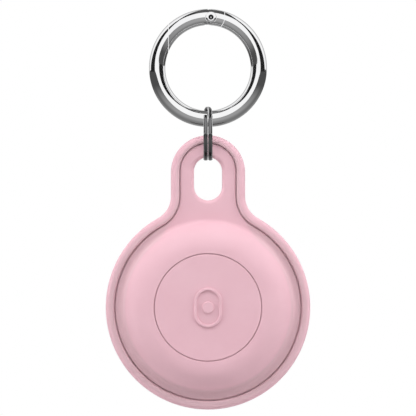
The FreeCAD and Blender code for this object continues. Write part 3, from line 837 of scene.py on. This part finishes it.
def makeHingeRivet():
    shape = rivetShape
    piece = newPiece("hingeRivet")
    middle = (rivetLow + rivetHigh) / 2
    x, z = middle.x, middle.z
    end = rivetHigh.y
    head = rivetHigh.x
    flat = x + shape["flatWidth"] / 2
    soft = shape["headRound"]
    slope = math.radians(shape["headSlope"])
    brink = head - soft + soft * math.sin(slope)     # the slope ends in the edge's round
    fall = (brink - flat) * math.tan(slope)
    edge = end - fall - soft * math.cos(slope)
    near = brink - caseShape["seat"]
    nearFall = (near - flat) * math.tan(slope)
    under = end - shape["headHeight"]
    mouth = shape["hollowWidth"] / 2
    ball = dropArc(mouth, shape["hollowDeep"])
    sweep = math.degrees(math.asin(mouth / ball))
    bottom = end - shape["hollowDeep"]
    edgeSweep = 90 - shape["headSlope"]
    revolve((x, -bottom, z), [
        (Vector((x, -bottom - ball, z)), -sweep, shape["hollowSteps"]),
        (flat - caseShape["seat"], -end, z),
        (flat, -end, z),
        (near, nearFall - end, z),
        (brink, fall - end, z),
        (Vector((head - soft, -edge, z)), edgeSweep, shape["edgeSteps"]),
        (head, -under, z),
        (x + shape["shaft"] / 2, -under, z),
        (x + shape["shaft"] / 2, under, z),
        (head, under, z),
        (head, edge, z),
        (Vector((head - soft, edge, z)), edgeSweep, shape["edgeSteps"]),
        (near, end - nearFall, z),
        (flat, end, z),
        (flat - caseShape["seat"], end, z),
        (x + mouth, end, z),
        (Vector((x, bottom + ball, z)), -sweep, shape["hollowSteps"]),
    ], shape["turnSteps"], (x, 0, z))
    finishPiece(piece, rivetFinish(middle, shape))
    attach(piece, "gate")
    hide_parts("hinge_rivet")


makeHingeRivet()

# Split ring: two turns side by side, crossing over inside the spring ring
linkLow, linkHigh = boxOf("split_ring")
linkShape = {
    "wire": 0.88,
    "thickness": 0.45,                      # across the ring's radius, flatter than wide
    "bore": 0.6,                            # from the solid's outer edge to the wire's inside
    "turnGap": 0.06,
    "endAngle": 46.0,                       # from the top to each cut end
    "pointsPerTurn": 72,
    "darkReflection": rgba(0.2, 0.2, 0.205),       # painted dark reflection along the middle of the wire
    "sideHighlight": rgba(0.84, 0.84, 0.845),      # painted highlight along its sides
    "sideHighlightRange": (0.25, 0.42),            # off the wire's middle, of its width
    "grainSize": 0.15,
    "grainStrength": 0.15,
    "grainDepth": 0.002,
    "roughness": 0.08,
    "grainRoughness": 0.08,
}


def linkFinish(shape):                      # painted dark reflection along the wire's middle, painted highlight beside the other turn
    paint = Paint("reflectionPaintedSteel", Metallic=1.0)
    wireMiddle = (shape["wire"] + shape["turnGap"]) / 2 * mm
    off = abs(abs(paint.part("X")) - wireMiddle)
    sideHighlight = paint.limits(off, *(part * shape["wire"] * mm for part in shape["sideHighlightRange"]))
    grain = paint.noise(shape["grainSize"], detail=4.0)
    # painted dark reflection, with a painted highlight beside the other turn
    paint.give("Base Color", paint.blend(sideHighlight, shape["darkReflection"], shape["sideHighlight"]))
    paint.give("Roughness", shape["roughness"] + shape["grainRoughness"] * grain)
    paint.bump(grain, shape["grainStrength"], shape["grainDepth"])
    return paint.material


# A round wire through the points, as a mesh
def wireAlong(name, points, wire, material, creaseDegrees=50):
    bpy.ops.object.select_all(action="DESELECT")
    bpy.ops.curve.primitive_nurbs_path_add()
    curve = bpy.context.object
    curve.name = name
    curve.data.splines.clear()
    spline = curve.data.splines.new("NURBS")
    spline.points.add(len(points) - 1)
    for point, place in zip(spline.points, points):
        point.co = (*(place * mm), 1.0)
    spline.order_u = 3
    spline.use_endpoint_u = True
    spline.resolution_u = 4
    curve.data.bevel_depth = wire / 2 * mm
    curve.data.bevel_resolution = 7
    curve.data.use_fill_caps = True
    bpy.ops.object.convert(target="MESH")
    piece = bpy.context.object
    piece.name = name
    piece.data.name = name
    bpy.ops.object.shade_smooth_by_angle(angle=math.radians(creaseDegrees))
    piece.data.materials.clear()
    piece.data.materials.append(material)
    print(name, "made:", len(piece.data.polygons), "faces")
    return piece


def makeSplitRing():
    shape = linkShape
    middle = (linkLow + linkHigh) / 2
    radius = (linkHigh.z - linkLow.z) / 2 - shape["bore"] + shape["thickness"] / 2
    offset = (shape["wire"] + shape["turnGap"]) / 2
    first = shape["endAngle"]
    last = 720 - first
    count = 2 * shape["pointsPerTurn"]
    points = []
    for step in range(count + 1):
        angle = first + (last - first) * step / count
        side = -offset + 2 * offset * ramp(angle, 360 - first, 360 + first)     # crosses over the top
        turn = math.radians(angle)
        points.append(Vector((side, -radius * math.sin(turn), middle.z + radius * math.cos(turn))))
    piece = wireAlong("splitRing", points, shape["wire"], linkFinish(shape))
    for vertex in piece.data.vertices:      # flattens the wire
        spoke = Vector((0, vertex.co.y, vertex.co.z - middle.z * mm))
        off = spoke.length - radius * mm
        spoke *= 1 - off * (1 - shape["thickness"] / shape["wire"]) / spoke.length
        vertex.co = (vertex.co.x, spoke.y, spoke.z + middle.z * mm)
    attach(piece, "link")
    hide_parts("split_ring")


makeSplitRing()

# Coil spring in the gate
springLow, springHigh = boxOf("gate_spring")
springShape = {
    "wire": 0.2,
    "coil": 0.35,                           # radius of the coil
    "turns": 4.5,
    "tilt": 8.0,                            # the bore leans by this much
    "length": 2.96,
    "pressed": 0.81,                        # of its length when the plunger is in
    "pointsPerTurn": 20,
}


def makeGateSpring():
    shape = springShape
    middle = (springLow + springHigh) / 2
    lean = Matrix.Rotation(-math.radians(shape["tilt"]), 3, "Y")
    count = int(shape["turns"] * shape["pointsPerTurn"])
    points = []
    for step in range(count + 1):
        turn = 2 * math.pi * step / shape["pointsPerTurn"]
        along = (step / count - 0.5) * shape["length"]
        coiled = Vector((along, shape["coil"] * math.cos(turn), shape["coil"] * math.sin(turn)))
        points.append(middle + lean @ coiled)
    piece = wireAlong("gateSpring", points, shape["wire"], springSteel)
    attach(piece, "gate")
    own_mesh(piece)
    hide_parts("gate_spring")


makeGateSpring()

# Finishes of the CAD nodes that stay
nodeFinish = {
    "ring_body": chromePlate,
    "ring_gate": chromePlate,
    "gate_plunger": springSteel,
    "tag_front_shell": whiteGloss,
    "tag_inner_frame": darkMoulded,
    "tag_circuit_board": boardGreen,
    "tag_coin_cell": cellSteel,
    "tag_battery_cover": cellSteel,
    "tag_battery_contacts": springSteel,
    "tag_sounder_magnet": magnetPlate,
    "tag_sounder_coil": copperWire,
}
for name, material in nodeFinish.items():
    nodes[name].data.materials.clear()
    nodes[name].data.materials.append(material)
print("finishes given to", len(nodeFinish), "nodes")

# Studio
studio = {
    "ambient": 0.27,                        # of the world on the object
    "greyBehind": 0.55,                     # how far the metal's surroundings darken behind the object
    "behindRange": (0.25, 0.95),            # from beside it to straight behind it
    "frameWidth": 84.66,                    # width of the picture at the object
    "frameZ": -28.5,                        # height of its middle
    "lens": 800.0,
    "sensor": 36.0,
    "clip": (0.01, 20),
}
lamps = {
    "topBox": {"place": (0, -260, 330), "target": (0, 0, -35), "size": (420, 260), "watts": 1.25},
    "backBox": {"place": (0, -60, 400), "target": (0, 0, -35), "size": (420, 200), "watts": 0.46},
    "leftBox": {"place": (-400, -110, 90), "target": (0, 0, -40), "size": (160, 220), "watts": 0.85},
    "rightBox": {"place": (400, -110, 90), "target": (0, 0, -40), "size": (160, 220), "watts": 0.85},
    "rearBox": {"place": (0, 430, 110), "target": (0, 0, -35), "size": (420, 300), "watts": 1.2},
}
# Cards that only the metal mirrors: a black arch in front of the object, and a grey sheet below it
arch = {
    "distance": 290.0,
    "black": 0.008,
    "greyTop": 0.085,                       # its own light over the top, none to the sides
    "greyRange": (40.0, 110.0),             # full grey to here, black from there
    "band": [                               # degrees round the view, then nearest and furthest off it
        (-3, 24, 95), (0, 25, 93), (15, 30, 83), (30, 39, 80), (45, 56, 76), (60, 69, 83), (75, 70, 126),
        (90, 73, 142), (105, 70, 108), (120, 71, 83), (135, 54, 82), (150, 46, 87), (165, 40, 94),
        (180, 34, 103), (183, 33, 104),
    ],
}
floor = {
    "z": -86.0,
    "size": (2400, 2200),
    "forward": 500.0,
    "colour": grey(0.62),
    "lift": 0.1,                            # the floor's own light, to the camera only
    "fadeFrom": 120.0,
    "fadeTo": 650.0,
}
sheet = {
    "z": -80.0,
    "size": (6000, 6000),
    "forward": 500.0,
    "dark": 0.075,                          # to the sides
    "light": 0.36,                          # along the middle, in front
    "halfWidth": 270.0,
    "shade": 120.0,                         # reach of the shade straight below the object
    "shaded": 0.4,                          # of the light that is left there
}


def aim(thing, target):
    away = Vector(thing.location) - Vector(target) * mm
    thing.rotation_mode = "QUATERNION"
    thing.rotation_quaternion = away.to_track_quat("Z", "Y")


def makeLamps():
    for name, lamp in lamps.items():
        bpy.ops.object.light_add(type="AREA", location=Vector(lamp["place"]) * mm)
        made = bpy.context.object
        made.name = name
        made.data.shape = "RECTANGLE"
        made.data.size, made.data.size_y = (side * mm for side in lamp["size"])
        made.data.energy = lamp["watts"]
        made.visible_camera = False
        made.visible_glossy = False
        aim(made, lamp["target"])
    print("lamps made:", len(lamps))


def onlyMirrored(card, material):
    card.data.materials.append(material)
    card.visible_camera = False
    card.visible_diffuse = False
    card.visible_shadow = False


def makeArch():
    paint = Paint("blackCard", Roughness=0.9, Base_Color=grey(arch["black"]), Emission_Strength=1.0)
    side = paint.limits(abs(paint.part("X")), *(reach * mm for reach in arch["greyRange"]))
    paint.give("Emission Color", paint.blend(side, grey(arch["greyTop"]), grey(0)))
    bpy.ops.object.select_all(action="DESELECT")
    rows = len(arch["band"])
    bpy.ops.mesh.primitive_grid_add(x_subdivisions=1, y_subdivisions=rows - 1, size=1)
    card = bpy.context.object
    card.name = "blackArch"
    for row, (around, near, far) in enumerate(arch["band"]):
        for column, off in enumerate((near, far)):
            a, b = math.radians(around), math.radians(off)
            way = Vector((math.sin(b) * math.cos(a), -math.cos(b), math.sin(b) * math.sin(a)))
            card.data.vertices[2 * row + column].co = way * arch["distance"] * mm
    onlyMirrored(card, paint.material)


def levelCard(name, card):                  # a flat rectangle, most of it in front of the object
    bpy.ops.object.select_all(action="DESELECT")
    bpy.ops.mesh.primitive_plane_add(size=1)
    made = bpy.context.object
    made.name = name
    width, length = card["size"]
    for vertex in made.data.vertices:
        vertex.co = Vector((vertex.co.x * width, vertex.co.y * length - card["forward"], card["z"])) * mm
    return made


def makeSheet():
    paint = Paint("greySheet", Roughness=1.0, Base_Color=grey(0), Specular_IOR_Level=0.0,
                  Emission_Strength=1.0)
    side = paint.limits(abs(paint.part("X")), 0.0, sheet["halfWidth"] * mm)
    clear = paint.limits(abs(paint.part("Y")), 0.0, sheet["shade"] * mm)
    glow = (1 - side) * (sheet["shaded"] + (1 - sheet["shaded"]) * clear)
    paint.give("Emission Color", paint.blend(glow, grey(sheet["dark"]), grey(sheet["light"])))
    onlyMirrored(levelCard("greySheet", sheet), paint.material)


def makeFloor():                            # plain floor near the object, fading into the white behind
    paint = Paint("paleFloor", Roughness=0.8, Emission_Strength=1.0)
    away = paint.add("ShaderNodeVectorMath", {"operation": "LENGTH"}, {0: paint.spot}).outputs["Value"]
    seen = Signal(paint, paint.add("ShaderNodeLightPath").outputs["Is Camera Ray"])
    fade = seen * paint.limits(away, floor["fadeFrom"] * mm, floor["fadeTo"] * mm)
    lift = seen * floor["lift"] + fade * (1 - floor["lift"])
    paint.give("Base Color", paint.blend(fade, floor["colour"], grey(0)))
    paint.give("Emission Color", paint.blend(lift, grey(0), grey(1)))
    made = levelCard("floor", floor)
    made.data.materials.append(paint.material)


def makeWorld():                            # white to the camera, greyer in the metal, dimmer as light
    sky = Sky("studioWorld")
    path = sky.add("ShaderNodeLightPath").outputs
    mirrored = Signal(sky, path["Is Glossy Ray"])
    seen = Signal(sky, path["Is Camera Ray"])
    white = seen.maths("MAXIMUM", seen, path["Is Transmission Ray"])
    behind = sky.limits(sky.part("Y"), *studio["behindRange"])
    metal = mirrored * (1 - studio["greyBehind"] * behind) + studio["ambient"] * (1 - mirrored)
    sky.give("Strength", white + (1 - white) * metal)
    sky.shader.inputs["Color"].default_value = grey(1)


def makeCamera():
    distance = studio["frameWidth"] * studio["lens"] / studio["sensor"]
    place = Vector((0, -distance, studio["frameZ"]))
    bpy.ops.object.camera_add(location=place * mm)
    camera = bpy.context.object
    camera.data.lens = studio["lens"]
    camera.data.sensor_width = studio["sensor"]
    camera.data.clip_start, camera.data.clip_end = studio["clip"]
    aim(camera, (0, 0, studio["frameZ"]))
    bpy.context.scene.camera = camera
    print("camera at", tuple(round(c) for c in place), "mm")


makeLamps()
makeArch()
makeSheet()
print("cards made")
makeFloor()
makeWorld()
print("floor and world made")
makeCamera()
bpy.context.scene.view_settings.view_transform = "Standard"
